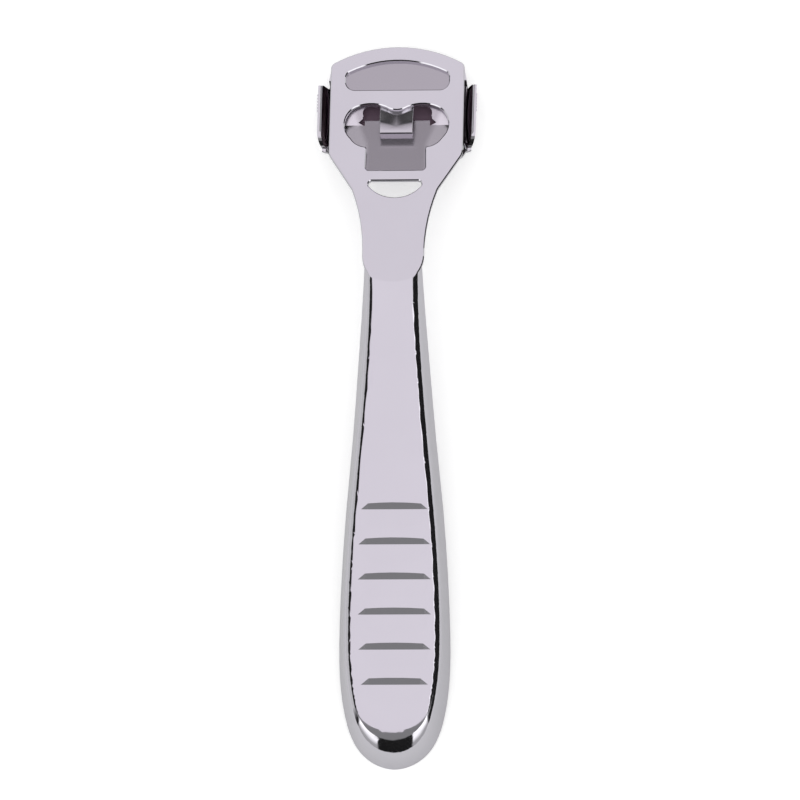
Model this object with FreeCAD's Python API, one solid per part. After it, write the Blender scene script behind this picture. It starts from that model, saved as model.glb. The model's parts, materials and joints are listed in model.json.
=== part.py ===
import FreeCAD, Part
import math
import os

# Callus shaver: a pressed steel handle that runs out into a flat head plate, a guard tray with
# flared side walls under the head, the blade, the clamp plate that holds it, and a latch spring
# whose hooked thumb tab comes through the window of the head plate.
# Sizes are millimetres. X runs across the tool, Y along it towards the head, Z up, and the tool
# lies front side up, as it comes to rest, on the sole of the guard and the rim of the butt.

V = FreeCAD.Vector

# Sheet thicknesses
frame_sheet = 1.0
guard_sheet = 0.8
clamp_sheet = 0.6
spring_sheet = 0.6
blade_sheet = 0.25

# Handle, measured along its front panel from the end of the butt. Each outline lists distance
# from the butt and half width, the first at the foot of the walls, the second at the panel edge.
foot_outline = [(0, 0), (3.3, 7.4), (12.5, 11.6), (32, 12.86), (60, 11.3), (78, 9.85), (97, 9.0),
                (118, 8.3)]
panel_outline = [(4.2, 0), (6.2, 5.6), (14.0, 9.35), (32, 11.0), (60, 9.6), (78, 7.95), (97, 6.35),
                 (118, 5.75)]
handle_depth = 8.2
shoulder_radius = 2.0
butt_radius = 7.6
crown_radius_butt = 600.0
crown_radius_neck = 28.0
rim_rise_start = 60.0
rim_rise_middle = (88.0, 2.1)

# Neck bend, where the panel turns into the flat tongue of the head plate
crease_distance = 112.7
bend_angle = 19.14

# Grip notches pressed into the panel: a steep step that faces the butt and a long run out
notch_pitch = 8.12
notch_first = 19.3
notch_depth = 0.4
notch_steep_run = 1.6
notch_gentle_run = 4.4
notch_end_taper = 2.1
notch_half_widths = [8.1, 8.75, 8.95, 8.95, 8.85, 8.25]
notch_shift = 0.5

# Head plate. On the head, v runs up the plate from the middle of the guard walls, u runs across
# it, and w comes out of its front face.
crease_to_head = 41.4
head_half_width = 15.6
head_top = 18.4
head_top_radius = 29.5
head_corner_radius = 1.6
head_side_end = -9.0
taper_end_half_width = 10.0
taper_end = -17.9
neck_half_width = 7.2
neck_start = -33.0
tongue_tip = -40.2
tongue_tip_half_width = 5.0
plate_edge_break = 0.22

lens_half_width = 12.05
lens_top = 14.9
lens_top_radius = 24.2
lens_bottom = 7.4
lens_corner = 2.2

lobe_half_width = 12.1
lobe_top = 3.85
lobe_dip = 2.3
stem_half_width = 7.0
stem_top = -7.1
stem_bottom = -13.1
stem_corner = 0.9
stem_elbow = 0.6
lobe_elbow = 1.5
lobe_shoulder = 3.0
dip_corner = 1.0

neck_hole_half_width = 6.2
neck_hole_top = -15.7
neck_hole_bottom = -20.0
neck_hole_corner = 0.8

# Guard tray: a sole curved along the head, flared walls beside the blade, and a rim that the
# upper half of the head plate lies on
sole_radius = 31.0
sole_centre = 3.6
sole_depth = 6.05
wall_foot_half_width = 16.4
wall_foot = -5.6
wall_flare = 22.0
wall_top = -0.4
wall_upper_end = 8.8
wall_upper_slant = 0.6
wall_round = [(-2.85, -0.4), (-4.9, -1.1), (-6.15, -3.1)]
wall_lower_end = -6.95
guard_bend_radius = 1.3
lip_clearance = 0.19
lip_half_width = 15.1
lip_root_half_width = 16.1
lip_corner = 1.4
tray_foot_half_width = 16.2
tray_top_inset = 0.4
mouth_half_width = 15.5
mouth_corner = 0.35
mouth_lower = -6.6
rib_count = 6
rib_pitch = 0.8
rib_first = 2.1
rib_width = 0.42
rib_height = 0.2
rib_low = -3.4

# Blade, flat under the clamp plate, its edge towards the handle
blade_half_width = 15.1
blade_edge = -5.6
blade_back = 11.2
blade_bevel = 0.7
blade_corner = 0.8
slot_half_width = 10.6
slot_low = 0.2
slot_high = 5.4
slot_corner = 0.9

# Clamp plate over the blade. Its web leans from the blade up to the foot under the head plate, and
# two ears are bent up beside a slot with round ends.
clamp_face = -3.2
clamp_half_width = 13.3
clamp_ear_top = 5.2
clamp_bend = -0.28
clamp_ear_angle = 12.0
clamp_web_top = 1.0
clamp_slot_half_width = 8.1
clamp_slot_top = 4.2
clamp_relief = (9.1, 0.35)
clamp_foot_half_width = 9.0
clamp_foot_start = -6.6
clamp_flange_start = -13.2
clamp_flange_end = -15.1
prong_low = 0.75
prong_inner = 9.3
prong_width = 0.8
prong_reach = 0.75

# Latch spring, with the thumb tab that hooks over the clamp plate
spring_half_width = 13.3
spring_shoulder = 5.4
spring_side_top = 12.9
spring_top_half_width = 9.6
spring_top = 15.1
tab_half_width = 3.9
tab_crest = 0.45
tab_dish_apex = -2.2
tab_dish_side = -0.2
tab_dish_slope = 0.41
tab_end = -3.95
tab_nose_radius = 0.5


# Shapes on the head


def ring(points, curves=()):
    """Closed outline through (u, v) points, straight but for the runs that curves lists as
    {start index: middle point of an arc to the next point}."""
    curves = dict(curves)
    edges = []
    for i, start in enumerate(points):
        end = points[(i + 1) % len(points)]
        a = V(start[0], start[1], 0)
        b = V(end[0], end[1], 0)
        if i in curves:
            middle = V(curves[i][0], curves[i][1], 0)
            edges.append(Part.Arc(a, middle, b).toShape())
        else:
            edges.append(Part.LineSegment(a, b).toShape())
    return Part.Wire(edges)


def prism(outline, low, high):
    """Solid over a u, v outline from w = low to w = high."""
    face = Part.Face(outline)
    face.translate(V(0, 0, low))
    return face.extrude(V(0, 0, high - low))


def block(u, v, w):
    """Box between three pairs of limits."""
    return Part.makeBox(u[1] - u[0], v[1] - v[0], w[1] - w[0], V(u[0], v[0], w[0]))


def across(profile, half_width, curves=()):
    """Solid across the head over a closed side profile of (v, w) points."""
    face = Part.Face(ring(profile, curves))
    turned = face.copy()
    turned.rotate(V(0, 0, 0), V(1, 1, 1), 120)
    turned.translate(V(-half_width, 0, 0))
    return turned.extrude(V(2 * half_width, 0, 0))


def rounded(solid, corners):
    """Rounds upright edges: corners maps (u, v) of an edge to its radius, on both sides."""
    by_radius = {}
    for edge in solid.Edges:
        ends = [vertex.Point for vertex in edge.Vertexes]
        if len(ends) != 2 or abs(ends[0].x - ends[1].x) + abs(ends[0].y - ends[1].y) > 1e-5:
            continue
        for (u, v), radius in corners.items():
            if abs(abs(ends[0].x) - abs(u)) < 1e-3 and abs(ends[0].y - v) < 1e-3:
                by_radius.setdefault(radius, []).append((ends[0].x, ends[0].y))
    for radius, places in by_radius.items():
        picked = []
        for edge in solid.Edges:
            ends = [vertex.Point for vertex in edge.Vertexes]
            if len(ends) != 2 or abs(ends[0].x - ends[1].x) + abs(ends[0].y - ends[1].y) > 1e-5:
                continue
            if any(abs(ends[0].x - x) + abs(ends[0].y - y) < 1e-3 for x, y in places):
                picked.append(edge)
        solid = solid.makeFillet(radius, picked)
    return solid


def mirrored(points):
    """Right-hand (u, v) points from the bottom up, then their mirror images back down."""
    return points + [(-u, v) for u, v in reversed(points)]


def on_panel_axes(shape):
    """Carries a shape from the head's u, v, w to the axes of the handle's panel."""
    shape = shape.copy()
    shape.translate(V(0, crease_to_head, 0))
    shape.rotate(V(0, 0, 0), V(1, 0, 0), -bend_angle)
    shape.translate(V(0, crease_distance, 0))
    return shape


# Handle frame


def handle_curve(outline, inset):
    """Smooth plan curve round the butt from neck to neck, moved in by the inset, in four runs
    that meet at the butt and where its rounding ends."""
    right = [V(half, distance, 0) for distance, half in outline[1:]]
    left = [V(-p.x, p.y, 0) for p in reversed(right)]
    points = left + [V(0, outline[0][0], 0)] + right
    curve = Part.BSplineCurve()
    curve.interpolate(points)
    moved = []
    for point in points:
        tangent = curve.tangent(curve.parameter(point))[0]
        moved.append(point + V(-tangent.y, tangent.x, 0) * inset)
    inner = Part.BSplineCurve()
    inner.interpolate(moved)
    butt = len(left)
    stops = [inner.parameter(moved[i]) for i in (0, butt - 2, butt, butt + 2, len(moved) - 1)]
    return [inner.toShape(a, b) for a, b in zip(stops, stops[1:])]


def wall_outline(height, inset):
    """Closed outline of the walls at a height over the panel, on the slope from foot to edge."""
    share = (height + handle_depth) / handle_depth
    outline = []
    for (foot_y, foot_half), (top_y, top_half) in zip(foot_outline, panel_outline):
        distance = foot_y + (top_y - foot_y) * share
        outline.append((distance, foot_half + (top_half - foot_half) * share))
    runs = handle_curve(outline, inset)
    for run in runs:
        run.translate(V(0, 0, height))
    closing = Part.LineSegment(runs[-1].valueAt(runs[-1].LastParameter),
                               runs[0].valueAt(runs[0].FirstParameter))
    return Part.Wire(runs + [closing.toShape()])


def above_panel(drop):
    """Everything above the crowned panel, lowered by the drop. The crown tightens towards the
    neck."""
    rows = []
    for i in range(14):
        y = -6.0 + i * 10.5
        share = min(1.0, max(0.0, y / crease_distance))
        radius = crown_radius_butt + (crown_radius_neck - crown_radius_butt) * share
        rows.append([V(x, y, -drop - x * x / (2 * radius)) for x in range(-18, 19, 4)])
    surface = Part.BSplineSurface()
    surface.interpolate(rows)
    return surface.toShape().extrude(V(0, 0, 40))


def handle_body(inset, drop, low):
    """Full body of the handle with leaning walls, crowned panel and shoulders that grow rounder
    along the butt."""
    body = Part.makeLoft([wall_outline(low, inset), wall_outline(1.5, inset)], True, True)
    body = body.cut(above_panel(drop))
    neck_end = body.BoundBox.YMax
    rounding_end = panel_outline[2][0] + 2.0
    small = shoulder_radius - inset
    large = butt_radius - inset
    rims = []
    for number, edge in enumerate(body.Edges, 1):
        if edge.BoundBox.ZMin < -4.5 or edge.BoundBox.YMin > neck_end - 1:
            continue
        if edge.BoundBox.YMax > rounding_end:
            rims.append((number, small, small))
        elif edge.valueAt(edge.FirstParameter).y < edge.valueAt(edge.LastParameter).y:
            rims.append((number, large, small))
        else:
            rims.append((number, small, large))
    sketch = FreeCAD.newDocument()
    base = sketch.addObject("Part::Feature", "base")
    base.Shape = body
    rounding = sketch.addObject("Part::Fillet", "rounding")
    rounding.Base = base
    rounding.Edges = rims
    sketch.recompute()
    result = rounding.Shape.copy()
    FreeCAD.closeDocument(sketch.Name)
    return result


def notch(number):
    """Wedge pressed into the panel: steep on the side of the head, long towards the butt, and
    running out at both ends."""
    distance = notch_first + number * notch_pitch
    half = notch_half_widths[number]
    inner = half - notch_end_taper
    roof = 0.6
    rim = mirrored([(inner, distance - notch_gentle_run), (half, distance),
                    (inner, distance + notch_steep_run)])
    level = [V(u, v, 0) for u, v in rim]
    top = [V(u, v, roof) for u, v in rim]
    deep_right = V(inner, distance, -notch_depth)
    deep_left = V(-inner, distance, -notch_depth)
    faces = [top]
    for i in range(6):
        j = (i + 1) % 6
        faces.append([level[i], level[j], top[j], top[i]])
    faces.append([level[5], level[0], deep_right, deep_left])
    faces.append([level[0], level[1], deep_right])
    faces.append([level[1], level[2], deep_right])
    faces.append([level[2], level[3], deep_left, deep_right])
    faces.append([level[3], level[4], deep_left])
    faces.append([level[4], level[5], deep_left])
    shell = Part.Shell([Part.Face(Part.makePolygon(f + f[:1])) for f in faces])
    solid = Part.Solid(shell)
    if solid.Volume < 0:
        solid.reverse()
    solid.translate(V(notch_shift, 0, 0))
    return solid


def below_rim():
    """What is cut from under the walls where their rim climbs to the tongue."""
    end = foot_outline[-1][0]
    tongue_drop = (end - crease_distance) * math.tan(math.radians(bend_angle))
    end_depth = tongue_drop + frame_sheet
    middle_y, middle_rise = rim_rise_middle
    curve = Part.BSplineCurve()
    curve.interpolate([V(0, rim_rise_start, -handle_depth),
                       V(0, middle_y, middle_rise - handle_depth), V(0, end, -end_depth)])
    low = -handle_depth - 5
    edges = [curve.toShape(),
             Part.LineSegment(V(0, end, -end_depth), V(0, end + 3, -end_depth)).toShape(),
             Part.LineSegment(V(0, end + 3, -end_depth), V(0, end + 3, low)).toShape(),
             Part.LineSegment(V(0, end + 3, low), V(0, rim_rise_start, low)).toShape(),
             Part.LineSegment(V(0, rim_rise_start, low), V(0, rim_rise_start, -handle_depth)).toShape()]
    face = Part.Face(Part.Wire(edges))
    face.translate(V(-20, 0, 0))
    return face.extrude(V(40, 0, 0))


def head_plate():
    """Flat head plate with its tongue, its three windows and broken front edges."""
    corner_v = head_top - head_top_radius + math.sqrt(head_top_radius ** 2 - head_half_width ** 2)
    right = [(tongue_tip_half_width, tongue_tip), (neck_half_width, neck_start - 2),
             (neck_half_width, neck_start), (taper_end_half_width, taper_end),
             (head_half_width, head_side_end), (head_half_width, corner_v)]
    points = mirrored(right)
    tip_bow = (neck_half_width - 0.35, tongue_tip + 3.2)
    neck_bow = (8.35, -23.6)
    curves = {0: tip_bow, 2: neck_bow, 5: (0, head_top),
              8: (-neck_bow[0], neck_bow[1]), 10: (-tip_bow[0], tip_bow[1])}
    plate = prism(ring(points, curves), -frame_sheet, 0)
    plate = rounded(plate, {(head_half_width, corner_v): head_corner_radius,
                            (head_half_width, head_side_end): 3.0,
                            (taper_end_half_width, taper_end): 2.5})
    for window in (lens_window(), thumb_window(), neck_hole()):
        plate = plate.cut(window)
    front = [e for e in plate.Edges if e.BoundBox.ZMin > -1e-4 and e.BoundBox.YMin > neck_start - 1]
    return plate.makeChamfer(plate_edge_break, front)


def lens_window():
    """Window with a bowed top, through which the latch spring shows."""
    top_v = lens_top - lens_top_radius + math.sqrt(lens_top_radius ** 2 - lens_half_width ** 2)
    points = mirrored([(lens_half_width, lens_bottom), (lens_half_width, top_v)])
    window = prism(ring(points, {1: (0, lens_top)}), -3, 3)
    return rounded(window, {(lens_half_width, lens_bottom): lens_corner,
                            (lens_half_width, top_v): 0.7 * lens_corner})


def thumb_window():
    """Window of two lobes over a stem, round the thumb tab."""
    dip_half = 2.4
    dip_side = lobe_dip + 0.75
    shoulder = (lobe_half_width - 2.2, lobe_top - 0.95)
    elbow = (lobe_half_width - 1.5, -4.9)
    stem = (stem_half_width - 0.15, stem_top)
    right = [(stem_half_width, stem_bottom), stem, elbow, shoulder, (dip_half, dip_side)]
    points = mirrored(right)
    lobe_bottom = (lobe_half_width - 3.0, -6.45)
    lobe_end = (lobe_half_width, -0.7)
    lobe_crest = (lobe_half_width - 5.9, lobe_top)
    curves = {1: lobe_bottom, 2: lobe_end, 3: lobe_crest, 4: (0, lobe_dip)}
    for index, middle in ((5, lobe_crest), (6, lobe_end), (7, lobe_bottom)):
        curves[index] = (-middle[0], middle[1])
    window = prism(ring(points, curves), -3, 3)
    return rounded(window, {(stem_half_width, stem_bottom): stem_corner, stem: stem_elbow,
                            elbow: lobe_elbow, shoulder: lobe_shoulder, (dip_half, dip_side): dip_corner})


def neck_hole():
    """Half-moon hole under the stem."""
    side_v = neck_hole_top - 1.3
    points = mirrored([(neck_hole_half_width, side_v), (neck_hole_half_width, neck_hole_top)])
    hole = prism(ring(points, {3: (0, neck_hole_bottom)}), -3, 3)
    return rounded(hole, {(neck_hole_half_width, neck_hole_top): neck_hole_corner,
                          (neck_hole_half_width, side_v): 0.5 * neck_hole_corner})


def handle_frame():
    """One pressed sheet: channel handle, notches, neck, tongue and head plate."""
    over_head = on_panel_axes(block((-30, 30), (-90, 40), (0, 60)))
    under_face = on_panel_axes(block((-30, 30), (-90, 40), (-frame_sheet, 60)))
    outer = handle_body(0, 0, -handle_depth)
    hollow = handle_body(frame_sheet, frame_sheet, -handle_depth - 1.0)
    for i in range(len(notch_half_widths)):
        wedge = notch(i)
        outer = outer.cut(wedge)
        wedge.translate(V(0, 0, -frame_sheet))
        hollow = hollow.cut(wedge)
    outer = outer.cut(over_head).cut(below_rim())
    hollow = hollow.cut(under_face)
    channel = outer.cut(hollow)
    return channel.fuse(on_panel_axes(head_plate())).removeSplitter()


# Guard


def sole_w(v, offset=0.0):
    """Level of the curved sole at v, for the outer face or a face inside it by the offset."""
    return sole_radius - sole_depth - math.sqrt((sole_radius - offset) ** 2 - (v - sole_centre) ** 2)


def clamp_top(v):
    """Level of the upper face of the clamp plate's leaning web, which meets the blade beside the
    blade's slot and the head plate at the foot."""
    share = (slot_low - v) / (slot_low - clamp_flange_start)
    return clamp_face + (-frame_sheet - clamp_face) * share


def lip_end():
    """Place where the inside of the rising sole comes within the clearance of the clamp plate."""
    low, high = -14.0, 0.0
    for _ in range(40):
        middle = 0.5 * (low + high)
        gap = clamp_top(middle) - clamp_sheet - lip_clearance - sole_w(middle, guard_sheet)
        if gap < 0:
            low = middle
        else:
            high = middle
    return high


def guard_form(offset, bend, plan):
    """Full body inside the guard's faces: curved sole, flared sides and the radius of the bends
    between them, cut to a plan outline."""
    low_v = lip_end() - 1.0
    high_v = head_top + 1.0
    roof = 8.0
    profile = [(low_v, sole_w(low_v, offset)), (high_v, sole_w(high_v, offset)), (high_v, roof),
               (low_v, roof)]
    body = across(profile, 24, {0: (sole_centre, sole_w(sole_centre, offset))})
    flare = math.tan(math.radians(wall_flare))
    foot = wall_foot_half_width - offset / math.cos(math.radians(wall_flare))
    low_half = foot + (-9.0 - wall_foot) * flare
    high_half = foot + (9.0 - wall_foot) * flare
    sides = Part.makePolygon([V(-low_half, low_v - 1, -9), V(low_half, low_v - 1, -9),
                              V(high_half, low_v - 1, 9), V(-high_half, low_v - 1, 9),
                              V(-low_half, low_v - 1, -9)])
    body = body.common(Part.Face(sides).extrude(V(0, high_v - low_v + 2, 0)))
    if bend:
        bends = [e for e in body.Edges if e.BoundBox.YLength > 20 and e.BoundBox.ZMax < roof - 1]
        body = body.makeFillet(bend, bends)
    return body.common(plan)


def tray_outline(inset):
    """Plan of the guard: a narrow lip, wide beside the blade, and under the head plate's
    outline above it, flush with the plate at its top corners."""
    arc_radius = head_top_radius - tray_top_inset - inset
    arc_centre = head_top - head_top_radius
    top_half = head_half_width - inset - 0.1
    top_v = arc_centre + math.sqrt(arc_radius ** 2 - top_half ** 2)
    wide = 21.0
    step = wall_upper_end + wall_upper_slant + inset
    right = [(lip_half_width, lip_end()), (lip_root_half_width, wall_lower_end), (wide, wall_lower_end),
             (wide, step - 2 * wall_upper_slant), (tray_foot_half_width - inset, step), (top_half, top_v)]
    plan = prism(ring(mirrored(right), {5: (0, arc_centre + arc_radius)}), -12, 12)
    return rounded(plan, {(top_half, top_v): head_corner_radius - inset,
                          (lip_half_width, lip_end()): lip_corner})


def guard_profile():
    """Side view that the guard is cut to: high walls beside the blade, falling in a round
    corner to the lip, and a low rim under the head plate."""
    low = -sole_depth - 3
    rim = -frame_sheet
    start, middle, end = wall_round
    foot = (wall_lower_end, sole_w(wall_lower_end, guard_sheet) + 0.3)
    points = [(lip_end() - 1, low), (head_top + 1, low), (head_top + 1, rim), (wall_upper_end, rim),
              (wall_upper_end, wall_top), start, end, foot, (lip_end() - 1, foot[1] + 1.5)]
    return across(points, 22, {5: middle})


def guard_ribs():
    """Raised ribs on the outside of the flared walls."""
    lean = math.tan(math.radians(wall_flare))
    ribs = []
    for i in range(rib_count):
        v = rib_first + i * rib_pitch
        low_half = wall_foot_half_width + (rib_low - wall_foot) * lean
        high_half = wall_foot_half_width + (wall_top - wall_foot) * lean
        for side in (-1, 1):
            corners = [(low_half - 0.3, rib_low), (low_half + rib_height, rib_low),
                       (high_half + rib_height, wall_top), (high_half - 0.3, wall_top)]
            outline = [V(side * u, v, w) for u, w in corners]
            face = Part.Face(Part.makePolygon(outline + outline[:1]))
            ribs.append(face.extrude(V(0, rib_width, 0)))
    return ribs


def mouth_upper():
    """Upper lip of the mouth, where the inside of the sole just reaches the blade."""
    reach = sole_radius - sole_depth - (clamp_face - clamp_sheet - blade_sheet)
    return sole_centre - math.sqrt((sole_radius - guard_sheet) ** 2 - reach ** 2)


def guard_plate():
    """Guard tray: curved sole with a mouth for the edge, flared and ribbed walls, seat rim."""
    plan = tray_outline(0)
    shell = guard_form(0, guard_bend_radius, plan)
    pocket_end = wall_upper_end + wall_upper_slant + guard_sheet
    pocket = block((-21, 21), (lip_end() - 1, pocket_end), (-12, 12))
    hollow = guard_form(guard_sheet, 0, tray_outline(guard_sheet))
    hollow = hollow.fuse(guard_form(guard_sheet, 0, pocket))
    mouth = block((-mouth_half_width, mouth_half_width), (mouth_lower, mouth_upper()), (-12, 2))
    mouth = mouth.makeFillet(mouth_corner, [e for e in mouth.Edges if e.BoundBox.ZLength > 10])
    tray = shell.cut(hollow).common(guard_profile()).cut(mouth)
    return tray.fuse(guard_ribs()).removeSplitter()


# Blade


def blade():
    """Flat blade with a two-sided bevel on the edge, clipped corners and a long middle slot."""
    top = clamp_face - clamp_sheet
    low = top - blade_sheet
    middle = top - 0.5 * blade_sheet
    profile = [(blade_edge, middle), (blade_edge + blade_bevel, low), (blade_back, low),
               (blade_back, top), (blade_edge + blade_bevel, top)]
    sheet = across(profile, blade_half_width)
    inner = blade_half_width - blade_corner
    plan = ring(mirrored([(inner, blade_edge), (blade_half_width, blade_edge + blade_corner),
                          (blade_half_width, blade_back - blade_corner), (inner, blade_back)]))
    slot = block((-slot_half_width, slot_half_width), (slot_low, slot_high), (-12, 2))
    slot = slot.makeFillet(slot_corner, [e for e in slot.Edges if e.BoundBox.ZLength > 10])
    return sheet.common(prism(plan, -12, 2)).cut(slot)


# Clamp plate


def clamp_plan(foot_end):
    """Plan of the clamp plate, wide beside the blade and narrow at its foot."""
    waist = clamp_foot_start
    plan = mirrored([(clamp_foot_half_width, foot_end), (clamp_foot_half_width, waist),
                     (clamp_half_width, waist + 4.5), (clamp_half_width, clamp_ear_top)])
    return rounded(prism(ring(plan), -12, 2), {
        (clamp_foot_half_width, foot_end): 1.0, (clamp_half_width, waist + 4.5): 2.0,
        (clamp_half_width, clamp_ear_top): 1.5, (clamp_foot_half_width, waist): 1.2})


def sheet_from(line, thickness):
    """Sheet across the head under a line of (v, w) points."""
    return across(line + [(v, w - thickness) for v, w in reversed(line)], clamp_half_width + 1)


def clamp_slot():
    """Slot with round ends between the ears, as long as it is seen behind the thumb tab."""
    slot = block((-clamp_slot_half_width, clamp_slot_half_width), (clamp_web_top, clamp_slot_top),
                 (-12, 2))
    radius = 0.49 * (clamp_slot_top - clamp_web_top)
    return slot.makeFillet(radius, [e for e in slot.Edges if e.BoundBox.ZLength > 10])


def clamp_plate():
    """Bent plate that presses on the blade: a leaning web with a flat foot under the head plate,
    two raised ears beside a slot, and two prongs through the slot of the blade."""
    rise = math.tan(math.radians(clamp_ear_angle)) * (clamp_ear_top - clamp_bend)
    bend_face = clamp_top(clamp_bend)
    web = sheet_from([(clamp_flange_end, -frame_sheet), (clamp_flange_start, -frame_sheet),
                      (clamp_web_top, clamp_top(clamp_web_top))], clamp_sheet)
    ears = sheet_from([(clamp_bend, bend_face), (clamp_ear_top, bend_face + rise)], clamp_sheet)
    relief_u, relief_v = clamp_relief
    web_beyond = block((-clamp_slot_half_width, clamp_slot_half_width), (clamp_bend, 2), (-12, 2))
    web_below = block((-20, 20), (-20, clamp_bend), (-12, 2))
    web = web.common(web_beyond.fuse(web_below))
    ears = ears.cut(block((-clamp_slot_half_width, clamp_slot_half_width),
                          (clamp_bend - 1, clamp_web_top + 0.8), (-12, 2)))
    sheet = web.fuse(ears).common(clamp_plan(clamp_flange_end)).cut(clamp_slot())
    for side in (-1, 1):
        inner = side * (clamp_slot_half_width - 0.5)
        relief = [(inner, clamp_web_top + 0.7), (side * relief_u, relief_v), (inner, clamp_bend - 0.2)]
        sheet = sheet.cut(prism(ring(relief), -12, 2))
        prong_outer = side * (prong_inner + prong_width)
        prong = block(sorted((side * prong_inner, prong_outer)), (prong_low, prong_low + clamp_sheet),
                      (clamp_face - clamp_sheet - prong_reach, bend_face))
        sheet = sheet.fuse(prong)
    return sheet.removeSplitter()


# Latch spring


def spring_leaf():
    """Main leaf, flat against the underside of the head plate."""
    plan = mirrored([(spring_half_width, spring_shoulder), (spring_half_width, spring_side_top),
                     (spring_top_half_width, spring_top)])
    leaf = prism(ring(plan), -frame_sheet - spring_sheet, -frame_sheet)
    return rounded(leaf, {(spring_half_width, spring_shoulder): 1.5,
                          (spring_half_width, spring_side_top): 1.5,
                          (spring_top_half_width, spring_top): 1.5})


def under_plane(levels):
    """Column below a plane, given by its levels at four corners round the thumb tab."""
    reach = 8.0
    low = -9.0
    places = [(-reach, -reach), (reach, -reach), (reach, reach), (-reach, reach)]
    top = [V(u, v, w) for (u, v), w in zip(places, levels)]
    foot = [V(u, v, low) for u, v in places]
    faces = [top, foot[::-1]]
    for i in range(4):
        j = (i + 1) % 4
        faces.append([foot[i], foot[j], top[j], top[i]])
    shell = Part.Shell([Part.Face(Part.makePolygon(f + f[:1])) for f in faces])
    column = Part.Solid(shell)
    if column.Volume < 0:
        column.reverse()
    return column


def tab_form(drop, end):
    """Everything below the faces of the thumb tab, lowered by the drop: a flat crest, and a dish
    of two planes that falls from it to the leaf and passes under the dip of the window."""
    fold = (tab_dish_side - tab_dish_apex) / tab_half_width
    planes = []
    for side in (-1, 1):
        levels = []
        for u, v in ((-8.0, -8.0), (8.0, -8.0), (8.0, 8.0), (-8.0, 8.0)):
            beyond = v - tab_dish_apex - side * fold * u
            levels.append(tab_crest - drop - tab_dish_slope * beyond)
        planes.append(under_plane(levels))
    root = spring_shoulder + 1.0
    strip = block((-tab_half_width, tab_half_width), (end, root), (-5.5, tab_crest - drop))
    leaf_level = block((-tab_half_width, tab_half_width), (end, root), (-5.5, -frame_sheet - drop))
    return strip.common(planes[0].fuse(planes[1])).fuse(leaf_level)


def spring_tab():
    """Tongue that comes up through the window as a dish, with a flat crest and a lip down on the
    clamp plate."""
    t = spring_sheet
    tab = tab_form(0, tab_end).cut(tab_form(t, tab_end + t))
    front, back = tab_end - 1.0, tab_end + 3.0
    tab = tab.cut(across([(front, clamp_top(front)), (back, clamp_top(back)), (back, -9), (front, -9)],
                         tab_half_width + 1))
    nose = [e for e in tab.Edges if e.BoundBox.YMax < tab_end + 0.01 and e.BoundBox.ZMin > tab_crest - 0.01]
    return tab.makeFillet(tab_nose_radius, nose)


def latch_spring():
    """Leaf spring seen through the upper window, with its thumb tab in the lower one."""
    return spring_leaf().fuse(spring_tab()).removeSplitter()


# At rest


def rest_angle():
    """Turn that sets the sole and the rim of the butt on one level."""
    centre = V(0, crease_to_head + sole_centre, sole_radius - sole_depth)
    turned = FreeCAD.Rotation(V(1, 0, 0), -bend_angle).multVec(centre) + V(0, crease_distance, 0)
    step = turned - V(0, 0, -handle_depth)
    return math.degrees(math.asin(sole_radius / step.Length) - math.atan2(step.z, step.y))


def at_rest(shape):
    """Turns a shape from the panel's axes to the way the tool lies."""
    shape = shape.copy()
    shape.rotate(V(0, 0, 0), V(1, 0, 0), rest_angle())
    return shape


nodes = {
    "handle_frame": at_rest(handle_frame()),
    "guard_plate": at_rest(on_panel_axes(guard_plate())),
    "blade": at_rest(on_panel_axes(blade())),
    "clamp_plate": at_rest(on_panel_axes(clamp_plate())),
    "latch_spring": at_rest(on_panel_axes(latch_spring())),
}

whole = Part.makeCompound(list(nodes.values())).optimalBoundingBox(False)
floor = V(-0.5 * (whole.XMin + whole.XMax), -0.5 * (whole.YMin + whole.YMax), -whole.ZMin)

os.makedirs("parts", exist_ok=True)
for name, shape in nodes.items():
    shape.translate(floor)
    shape.exportStep("parts/" + name + ".step")
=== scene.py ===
import json
import math

import bmesh
import bpy
from mathutils import Matrix, Vector


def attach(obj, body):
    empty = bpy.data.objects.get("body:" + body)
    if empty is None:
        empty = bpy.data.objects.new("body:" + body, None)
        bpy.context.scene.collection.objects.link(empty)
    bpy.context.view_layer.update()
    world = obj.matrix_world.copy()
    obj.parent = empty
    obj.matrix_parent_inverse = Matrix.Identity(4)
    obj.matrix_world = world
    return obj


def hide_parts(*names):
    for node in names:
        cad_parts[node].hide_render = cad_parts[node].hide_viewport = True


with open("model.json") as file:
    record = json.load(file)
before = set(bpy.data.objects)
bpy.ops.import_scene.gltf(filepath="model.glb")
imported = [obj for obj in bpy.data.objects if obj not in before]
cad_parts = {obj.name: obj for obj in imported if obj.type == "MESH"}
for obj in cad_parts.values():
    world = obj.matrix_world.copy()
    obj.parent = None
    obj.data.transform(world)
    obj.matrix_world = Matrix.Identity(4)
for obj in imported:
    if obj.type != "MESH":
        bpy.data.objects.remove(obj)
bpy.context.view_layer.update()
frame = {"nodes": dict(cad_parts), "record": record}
scene = bpy.context.scene
nodes = frame["nodes"]

# Handle frame: one stamped and pressed sheet of bright stainless steel, from the butt to the top of
# the head. It is polished after pressing, which leaves a faint lengthwise grain and hazy patches.
grain_scale = 2600.0
grain_detail = 3.0
grain_stretch = (1.0, 0.05, 1.0)
patch_scale = 70.0
patch_detail = 4.0
sheet_light = (0.665, 0.650, 0.695)
sheet_dark = (0.630, 0.615, 0.660)


def shader_group(name, inputs, outputs):
    """New shader group with named sockets, with its input and its output node."""
    group = bpy.data.node_groups.new(name, "ShaderNodeTree")
    for side, sockets in (("INPUT", inputs), ("OUTPUT", outputs)):
        for label, kind in sockets.items():
            group.interface.new_socket(label, in_out=side, socket_type="NodeSocket" + kind)
    return group, group.nodes.new("NodeGroupInput"), group.nodes.new("NodeGroupOutput")


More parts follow.
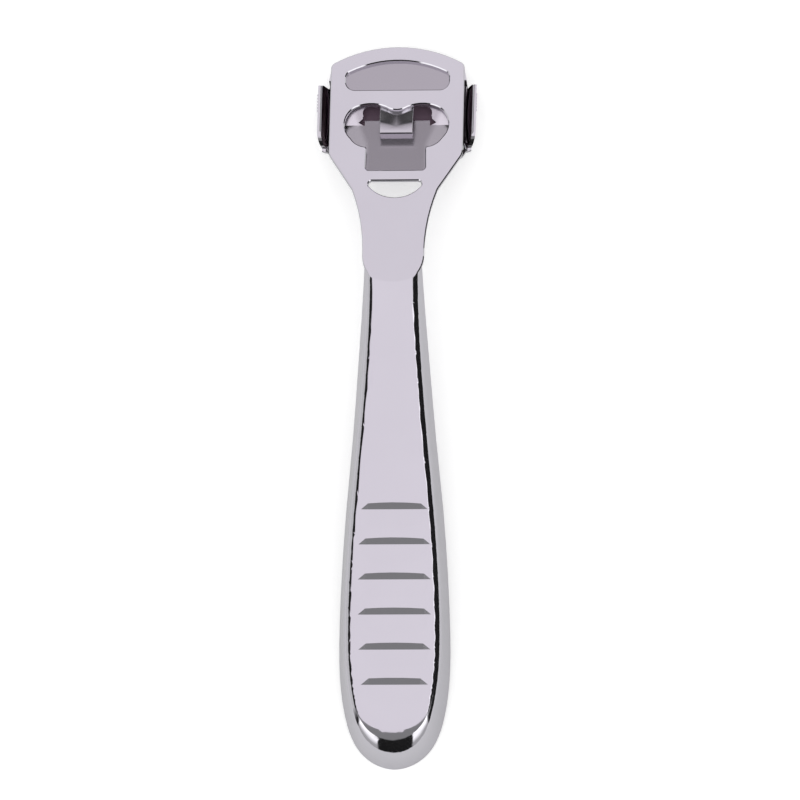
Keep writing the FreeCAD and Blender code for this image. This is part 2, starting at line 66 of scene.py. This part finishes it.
def feed(tree, socket, value):
    """Gives a socket another node's output, or a number or colour of its own."""
    if isinstance(value, bpy.types.NodeSocket):
        tree.links.new(value, socket)
    else:
        socket.default_value = value


def reckon(tree, operation, *values):
    """Math node over numbers and other nodes' outputs."""
    step = tree.nodes.new("ShaderNodeMath")
    step.operation = operation
    for socket, value in zip(step.inputs, values):
        feed(tree, socket, value)
    return step.outputs["Value"]


def mixed(tree, share, first, second, kind="MIX"):
    """Mix of two colours: the first where the share is 0, the second worked in where it is 1."""
    mix = tree.nodes.new("ShaderNodeMix")
    mix.data_type = "RGBA"
    mix.blend_type = kind
    feed(tree, mix.inputs["Factor"], share)
    feed(tree, mix.inputs["A"], first)
    feed(tree, mix.inputs["B"], second)
    return mix.outputs["Result"]


def noise(tree, place, scale, detail):
    """Cloudy noise over a place in metres, about 0.5 on average."""
    cloud = tree.nodes.new("ShaderNodeTexNoise")
    cloud.inputs["Scale"].default_value = scale
    cloud.inputs["Detail"].default_value = detail
    tree.links.new(place, cloud.inputs["Vector"])
    return cloud.outputs["Fac"]


grain, grain_in, grain_out = shader_group(
    "polish_grain",
    {"Coordinates": "Vector", "Roughness": "Float", "Haze": "Float", "Light": "Color", "Dark": "Color"},
    {"Color": "Color", "Roughness": "Float", "Height": "Float"})
stretch = grain.nodes.new("ShaderNodeMapping")
stretch.inputs["Scale"].default_value = grain_stretch
grain.links.new(grain_in.outputs["Coordinates"], stretch.inputs["Vector"])
lines = noise(grain, stretch.outputs["Vector"], grain_scale, grain_detail)
patches = noise(grain, grain_in.outputs["Coordinates"], patch_scale, patch_detail)
tone = mixed(grain, patches, grain_in.outputs["Dark"], grain_in.outputs["Light"])
haze = reckon(grain, "MULTIPLY_ADD", patches, grain_in.outputs["Haze"], grain_in.outputs["Roughness"])
grain.links.new(tone, grain_out.inputs["Color"])
grain.links.new(haze, grain_out.inputs["Roughness"])
grain.links.new(lines, grain_out.inputs["Height"])


def polished(name, light, dark, roughness, haze_depth, grain_depth):
    """Steel with the polish grain. Its colour wanders between the two tones, its roughness rises by
    up to the haze in the patches, and its fine lines stand up by the grain depth, in metres."""
    material = bpy.data.materials.new(name)
    material.use_nodes = True
    tree = material.node_tree
    shader = tree.nodes["Principled BSDF"]
    shader.inputs["Metallic"].default_value = 1.0
    place = tree.nodes.new("ShaderNodeTexCoord")
    finish = tree.nodes.new("ShaderNodeGroup")
    finish.node_tree = grain
    finish.inputs["Roughness"].default_value = roughness
    finish.inputs["Haze"].default_value = haze_depth
    finish.inputs["Light"].default_value = (*light, 1)
    finish.inputs["Dark"].default_value = (*dark, 1)
    tree.links.new(place.outputs["Object"], finish.inputs["Coordinates"])
    tree.links.new(finish.outputs["Color"], shader.inputs["Base Color"])
    tree.links.new(finish.outputs["Roughness"], shader.inputs["Roughness"])
    relief = tree.nodes.new("ShaderNodeBump")
    relief.inputs["Strength"].default_value = 1.0
    relief.inputs["Distance"].default_value = grain_depth
    tree.links.new(finish.outputs["Height"], relief.inputs["Height"])
    tree.links.new(relief.outputs["Normal"], shader.inputs["Normal"])
    return material


def dress(node, material):
    """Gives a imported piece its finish."""
    slots = nodes[node].data.materials
    slots.clear()
    slots.append(material)


dress("handle_frame", polished("polished_sheet", sheet_light, sheet_dark,
                               roughness=0.06, haze_depth=0.04, grain_depth=0.0000012))

# Guard plate: a thin pressed tray whose flared walls stand beside the blade. Their upper edge is
# rolled over on the inside when the tray is deburred, so only a narrow line of it shines. The floor
# of the tray, between the walls, is painted a matt reddish brown: a painted reflection, for the dim
# reddish tone in the tray's shade.
guard_light = (0.66, 0.645, 0.68)
guard_dark = (0.63, 0.62, 0.65)
tray_floor_painted_reflection = (0.25, 0.17, 0.23)
rim_radius = 0.00045
rim_height = (-0.46, -0.34)
rim_half_width = (15.6, 17.9)
rim_edge_length = 0.3
arc_steps = 5

# The painted reflection on the floor of the tray begins inside these half widths, in metres, and
# where its face looks up by this much: none of it at the first number, all of it at the second.
bed_half_width = (0.0150, 0.0148)
bed_facing = (0.6, 0.8)

# Place of the head plate. The axis of the neck window is square to it, and the window's middle is
# behind the middle of the guard's walls and half a sheet under the front face.
neck_window = next(mount for mount in frame["record"]["mounts"] if mount["name"] == "hang_hole")
neck_window_on_head = Vector((0, -0.0175, -0.0005))
head_up = Vector(neck_window["axis"])
head_turn = -math.atan2(head_up.y, head_up.z)
to_head = (Matrix.Translation(neck_window["pos_m"]) @ Matrix.Rotation(head_turn, 4, "X")
           @ Matrix.Translation(-neck_window_on_head)).inverted()

weld_distance = 0.000002
flat_within = math.radians(1.0)
edge_over = math.radians(35.0)
crease_over = math.radians(19.0)


def eased(node, name, material, radius, chosen):
    """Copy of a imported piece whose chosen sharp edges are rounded. Its triangles are merged and
    their flat faces joined, and each sharp edge whose middle, in millimetres on the head, and length
    pass the test is cut back by the radius in a few steps of an arc."""
    mesh = bpy.data.meshes.new(name)
    work = bmesh.new()
    work.from_mesh(nodes[node].data)
    bmesh.ops.remove_doubles(work, verts=work.verts, dist=weld_distance)
    bmesh.ops.dissolve_limit(work, angle_limit=flat_within, verts=work.verts, edges=work.edges)
    edges = []
    for line in work.edges:
        if len(line.link_faces) == 2 and line.calc_face_angle(0) > edge_over:
            ends = [to_head @ corner.co * 1000 for corner in line.verts]
            if chosen((ends[0] + ends[1]) / 2, (ends[1] - ends[0]).length):
                edges.append(line)
    bmesh.ops.bevel(work, geom=edges, offset=radius, segments=arc_steps, profile=0.5, affect="EDGES",
                    clamp_overlap=False)
    bmesh.ops.triangulate(work, faces=work.faces)
    work.to_mesh(mesh)
    work.free()
    mesh.shade_smooth()
    mesh.set_sharp_from_angle(angle=crease_over)
    mesh.materials.clear()
    mesh.materials.append(material)
    piece = bpy.data.objects.new(name, mesh)
    scene.collection.objects.link(piece)
    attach(piece, "root")
    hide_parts(node)
    weigh = piece.modifiers.new("flat faces lead", "WEIGHTED_NORMAL")
    weigh.keep_sharp = True
    weigh.weight = 100


def inner_rim(place, length):
    """Inner edge of the flared walls, just below the front of the head plate, but not the short
    edges at the ends of the ribs."""
    at_height = rim_height[0] < place.z < rim_height[1]
    at_side = rim_half_width[0] < abs(place.x) < rim_half_width[1]
    return at_height and at_side and length > rim_edge_length


def split(tree, vector):
    """The three parts of a vector."""
    parts = tree.nodes.new("ShaderNodeSeparateXYZ")
    tree.links.new(vector, parts.inputs["Vector"])
    return parts.outputs


def ramp(tree, value, low, high, start=0.0, end=1.0, kind="LINEAR"):
    """Runs from start, where the value is at the low limit, to end at the high one, and stays."""
    span = tree.nodes.new("ShaderNodeMapRange")
    span.interpolation_type = kind
    feed(tree, span.inputs["Value"], value)
    feed(tree, span.inputs["From Min"], low)
    feed(tree, span.inputs["From Max"], high)
    feed(tree, span.inputs["To Min"], start)
    feed(tree, span.inputs["To Max"], end)
    return span.outputs["Result"]


guard_steel = polished("guard_sheet", guard_light, guard_dark,
                       roughness=0.07, haze_depth=0.04, grain_depth=0.0000012)
guard_tree = guard_steel.node_tree
guard_shader = guard_tree.nodes["Principled BSDF"]
guard_place = guard_tree.nodes["Texture Coordinate"].outputs
beside = reckon(guard_tree, "ABSOLUTE", split(guard_tree, guard_place["Object"])["X"])
upward = split(guard_tree, guard_place["Normal"])["Z"]
# Painted reflection: on the floor of the tray the colour turns matt reddish brown and loses its metal.
painted_floor_share = reckon(guard_tree, "MULTIPLY", ramp(guard_tree, beside, *bed_half_width),
                    ramp(guard_tree, upward, *bed_facing))
guard_tone = mixed(guard_tree, painted_floor_share, guard_tree.nodes["Group"].outputs["Color"], (*tray_floor_painted_reflection, 1))
guard_tree.links.new(guard_tone, guard_shader.inputs["Base Color"])
metal_outside_painted_floor = reckon(guard_tree, "SUBTRACT", 1.0, painted_floor_share)
guard_tree.links.new(metal_outside_painted_floor, guard_shader.inputs["Metallic"])
eased("guard_plate", "guard_tray", guard_steel, rim_radius, inner_rim)

# Blade: a thin replaceable strip of hardened steel with a long middle slot, which lies flat between
# the guard's seat and the clamp plate. It is rougher than the sheet around it, and its dark reddish brown,
# only partly metal, is painted shade with a reddish tint, for where it lies in the shade of the head.
blade_shade_light = (0.16, 0.10, 0.12)
blade_shade_dark = (0.10, 0.065, 0.08)
blade_metallic = 0.4
blade_steel = polished("blade_steel", blade_shade_light, blade_shade_dark,
                       roughness=0.25, haze_depth=0.08, grain_depth=0.000002)
blade_steel.node_tree.nodes["Principled BSDF"].inputs["Metallic"].default_value = blade_metallic
dress("blade", blade_steel)

# Clamp plate: a bent steel plate that holds the blade down on the guard. Two ears stand up beside
# its slot, and down its middle, between the ears, its colour is darkened: painted shade.
clamp_light = (0.74, 0.71, 0.76)
clamp_dark = (0.70, 0.67, 0.72)
clamp_painted_shade = (0.72, 0.71, 0.72)
# Painted shade: a patch that darkens a colour over the middle of a piece, widening beyond a start along Y.
shade_patch, shade_patch_in, shade_patch_out = shader_group(
    "painted_shade_patch",
    {"Coordinates": "Vector", "Color": "Color", "Shade Colour": "Color", "Start": "Float", "Spread": "Float",
     "Full": "Float", "Gone": "Float"},
    {"Color": "Color"})
shade_patch_place = split(shade_patch, shade_patch_in.outputs["Coordinates"])
past_start = reckon(shade_patch, "SUBTRACT", shade_patch_place["Y"], shade_patch_in.outputs["Start"])
widened = reckon(shade_patch, "MULTIPLY", reckon(shade_patch, "MAXIMUM", past_start, 0.0),
                 shade_patch_in.outputs["Spread"])
outward = reckon(shade_patch, "SUBTRACT", reckon(shade_patch, "ABSOLUTE", shade_patch_place["X"]), widened)
shade_share = ramp(shade_patch, outward, shade_patch_in.outputs["Gone"], shade_patch_in.outputs["Full"], kind="SMOOTHSTEP")
darkened_colour = mixed(shade_patch, shade_share, shade_patch_in.outputs["Color"], shade_patch_in.outputs["Shade Colour"], "MULTIPLY")
shade_patch.links.new(darkened_colour, shade_patch_out.inputs["Color"])


def paint_shade(material, shade_colour, start, spread, full, gone):
    """Darkens the base colour over the middle of a piece, as painted shade. Across the piece the shade is
    full as far as one half width and gone at the other, and beyond the start along Y both grow by the
    spread."""
    tree = material.node_tree
    shade_node = tree.nodes.new("ShaderNodeGroup")
    shade_node.node_tree = shade_patch
    feed(tree, shade_node.inputs["Coordinates"], tree.nodes["Texture Coordinate"].outputs["Object"])
    feed(tree, shade_node.inputs["Color"], tree.nodes["Group"].outputs["Color"])
    feed(tree, shade_node.inputs["Shade Colour"], (*shade_colour, 1))
    feed(tree, shade_node.inputs["Start"], start)
    feed(tree, shade_node.inputs["Spread"], spread)
    feed(tree, shade_node.inputs["Full"], full)
    feed(tree, shade_node.inputs["Gone"], gone)
    feed(tree, tree.nodes["Principled BSDF"].inputs["Base Color"], shade_node.outputs["Color"])


clamp_steel = polished("clamp_sheet", clamp_light, clamp_dark,
                       roughness=0.20, haze_depth=0.06, grain_depth=0.0000015)
# Painted shade: the colour is darker down the middle of the clamp plate.
paint_shade(clamp_steel, clamp_painted_shade, start=0.0611, spread=0.39, full=0.0060, gone=0.0078)
dress("clamp_plate", clamp_steel)

# Latch spring: a leaf of spring steel under the head plate. Its end is bent up through the lobed
# window and down again into the thumb tab, with edges rounded for the thumb. In the upper window,
# under the head plate, the leaf's colour is darkened: painted shade.
spring_light = (0.61, 0.585, 0.63)
spring_dark = (0.57, 0.545, 0.59)
spring_painted_shade = (0.745, 0.74, 0.745)
tab_radius = 0.0002
tab_half_width = 3.85
tab_back = 2.6
tab_side_foot = -0.9
tab_nose = -3.3
tab_nose_foot = -2.4


def tab_edge(place, length):
    """Edges of the thumb tab, in front of the leaf, of any length."""
    on_side = abs(place.x) > tab_half_width and place.z > tab_side_foot
    on_nose = place.y < tab_nose and place.z > tab_nose_foot
    return place.y < tab_back and (on_side or on_nose)


spring_steel = polished("spring_leaf", spring_light, spring_dark,
                        roughness=0.12, haze_depth=0.05, grain_depth=0.0000015)
# Painted shade: the leaf's colour is darker in the upper window, under the head plate.
paint_shade(spring_steel, spring_painted_shade, start=0.0686, spread=20.0, full=-0.032, gone=0.0)
eased("latch_spring", "thumb_tab_spring", spring_steel, tab_radius, tab_edge)

# Floor: plain pale ground under the tool, matt and without gloss. Seen straight by the camera it
# glows a little, so that it reads white while the tool's own shadow stays on it.
ground_reach = 3.0
ground_tone = 0.8
ground_glow = 0.40
ground_mesh = bpy.data.meshes.new("floor")
ground_corners = [(x * ground_reach, y * ground_reach, 0) for x, y in ((-1, -1), (1, -1), (1, 1), (-1, 1))]
ground_mesh.from_pydata(ground_corners, [], [(0, 1, 2, 3)])
ground = bpy.data.objects.new("floor", ground_mesh)
scene.collection.objects.link(ground)
ground_paint = bpy.data.materials.new("floor")
ground_paint.use_nodes = True
ground_tree = ground_paint.node_tree
ground_shader = ground_tree.nodes["Principled BSDF"]
ground_shader.inputs["Base Color"].default_value = (ground_tone, ground_tone, ground_tone, 1)
ground_shader.inputs["Roughness"].default_value = 1.0
ground_shader.inputs["Specular IOR Level"].default_value = 0.0
ground_shader.inputs["Emission Color"].default_value = (1, 1, 1, 1)
ground_sight = ground_tree.nodes.new("ShaderNodeLightPath").outputs["Is Camera Ray"]
feed(ground_tree, ground_shader.inputs["Emission Strength"],
     reckon(ground_tree, "MULTIPLY", ground_sight, ground_glow))
ground_mesh.materials.append(ground_paint)

# Studio: even white light on the floor. What the polished steel mirrors is set by direction: a soft
# box overhead, a gray front, two tall windows, dim walls, and black flags at the sides. A limit is
# a pair of angles in degrees: nothing at the first and beyond it, all at the second.
softbox_left = (-31.0, -29.0)
softbox_right = (25.5, 23.5)
softbox_front = (-14.0, -12.5)
softbox_rear = (62.0, 60.0)
strip_left = (21.0, 22.5)
strip_right = (26.5, 25.5)
strip_front = (-20.0, -12.0)
strip_rear = (60.0, 50.0)
strip_strength = 0.9
front_top = (-12.5, -14.0)
front_foot = (-40.0, -36.0)
front_left = (-60.0, -50.0)
front_right = (60.0, 50.0)
front_strength = 0.27
left_window_near = (-24.0, -27.0)
left_window_far = (-66.0, -62.0)
left_window_top = (40.0, 42.0)
right_window_near = (24.0, 27.0)
right_window_far = (66.0, 62.0)
right_window_top = (36.0, 38.0)
window_foot = (93.0, 91.0)
wall_foot = (93.0, 90.0)
left_wall_top = (-52.0, -58.0)
left_wall_near = (-68.0, -80.0)
left_wall_strength = 0.72
right_wall_top = (27.0, 36.0)
right_wall_near = (110.0, 124.0)
right_wall_far = (178.0, 172.0)
right_wall_strength = 0.42
rear_top = (64.0, 72.0)
rear_side = (158.0, 170.0)
rear_strength = 0.14
flag_strength = 0.014
softbox_tint = (0.985, 0.945, 1.0)

# A fall is two angles and the strength of the light at each of them.
softbox_rear_fall = (42.0, 60.0, 1.0, 0.56)
softbox_near_fall = (6.0, 34.0, 1.0, 0.945)
window_fall = (58.0, 76.0, 1.5, 0.5)

studio = bpy.data.worlds.new("studio")
scene.world = studio
studio.use_nodes = True
sky = studio.node_tree
heading = split(sky, sky.nodes.new("ShaderNodeTexCoord").outputs["Generated"])
east, north, height = heading["X"], heading["Y"], heading["Z"]


def in_degrees(operation, *values):
    """Angle that a math operation gives in radians, in degrees."""
    return reckon(sky, "MULTIPLY", reckon(sky, operation, *values), 180 / math.pi)


def edge(angle, limit):
    """Smooth step over a pair of angles."""
    return ramp(sky, angle, *limit, kind="SMOOTHSTEP")


def product(first, *others):
    """Product of masks and numbers."""
    for other in others:
        first = reckon(sky, "MULTIPLY", first, other)
    return first


across = in_degrees("ARCTAN2", east, height)
along = in_degrees("ARCTAN2", north, height)
aside = in_degrees("ARCTAN2", east, reckon(sky, "MULTIPLY", north, -1.0))
tilt = in_degrees("ARCCOSINE", height)

softbox = product(edge(across, softbox_left), edge(across, softbox_right), edge(along, softbox_front),
                  edge(along, softbox_rear), ramp(sky, along, *softbox_rear_fall),
                  ramp(sky, along, *softbox_near_fall))
strip = product(edge(across, strip_left), edge(across, strip_right), edge(along, strip_front),
                edge(along, strip_rear), strip_strength)
front = product(edge(along, front_top), edge(along, front_foot), edge(across, front_left),
                edge(across, front_right), front_strength)
left_window = product(edge(aside, left_window_near), edge(aside, left_window_far),
                      edge(tilt, left_window_top))
right_window = product(edge(aside, right_window_near), edge(aside, right_window_far),
                       edge(tilt, right_window_top))
windows = product(reckon(sky, "ADD", left_window, right_window), edge(tilt, window_foot),
                  ramp(sky, tilt, *window_fall))
left_wall = product(edge(across, left_wall_top), edge(aside, left_wall_near), edge(tilt, wall_foot),
                    left_wall_strength)
right_wall = product(edge(across, right_wall_top), edge(aside, right_wall_near),
                     edge(aside, right_wall_far), edge(tilt, wall_foot), right_wall_strength)
rear = product(edge(along, rear_top), edge(reckon(sky, "ABSOLUTE", aside), rear_side),
               edge(tilt, wall_foot), rear_strength)
around = flag_strength
for panel in (strip, front, windows, left_wall, right_wall, rear):
    around = reckon(sky, "ADD", around, panel)

mirrored = sky.nodes.new("ShaderNodeVectorMath")
mirrored.operation = "MULTIPLY_ADD"
mirrored.inputs[0].default_value = softbox_tint
sky.links.new(softbox, mirrored.inputs[1])
sky.links.new(around, mirrored.inputs[2])
is_mirrored = sky.nodes.new("ShaderNodeLightPath").outputs["Is Glossy Ray"]
studio_light = mixed(sky, is_mirrored, (1, 1, 1, 1), mirrored.outputs["Vector"])
sky.links.new(studio_light, sky.nodes["Background"].inputs["Color"])

# Camera: almost straight above the tool, a little from the butt's side and from the right, far
# enough away that the view is nearly parallel, and turned by a third of a degree.
camera_target = Vector((0.001316, 0.000458, 0.009))
camera_way = Vector((0.0708, -0.1564, 0.985)).normalized()
camera_distance = 3
camera_roll = math.radians(0.345)
image_width = 800
pixel_size = 0.0002318
film_width = 36
camera_data = bpy.data.cameras.new("camera")
camera = bpy.data.objects.new("camera", camera_data)
scene.collection.objects.link(camera)
rolled_up = Vector((-math.sin(camera_roll), math.cos(camera_roll), 0))
camera_right = rolled_up.cross(camera_way).normalized()
camera_up = camera_way.cross(camera_right)
pose = Matrix((camera_right, camera_up, camera_way)).transposed().to_4x4()
pose.translation = camera_target + camera_distance * camera_way
camera.matrix_world = pose
camera_data.lens = camera_distance * film_width / (image_width * pixel_size)
camera_data.clip_end = 20
scene.camera = camera
scene.view_settings.view_transform = "Standard"
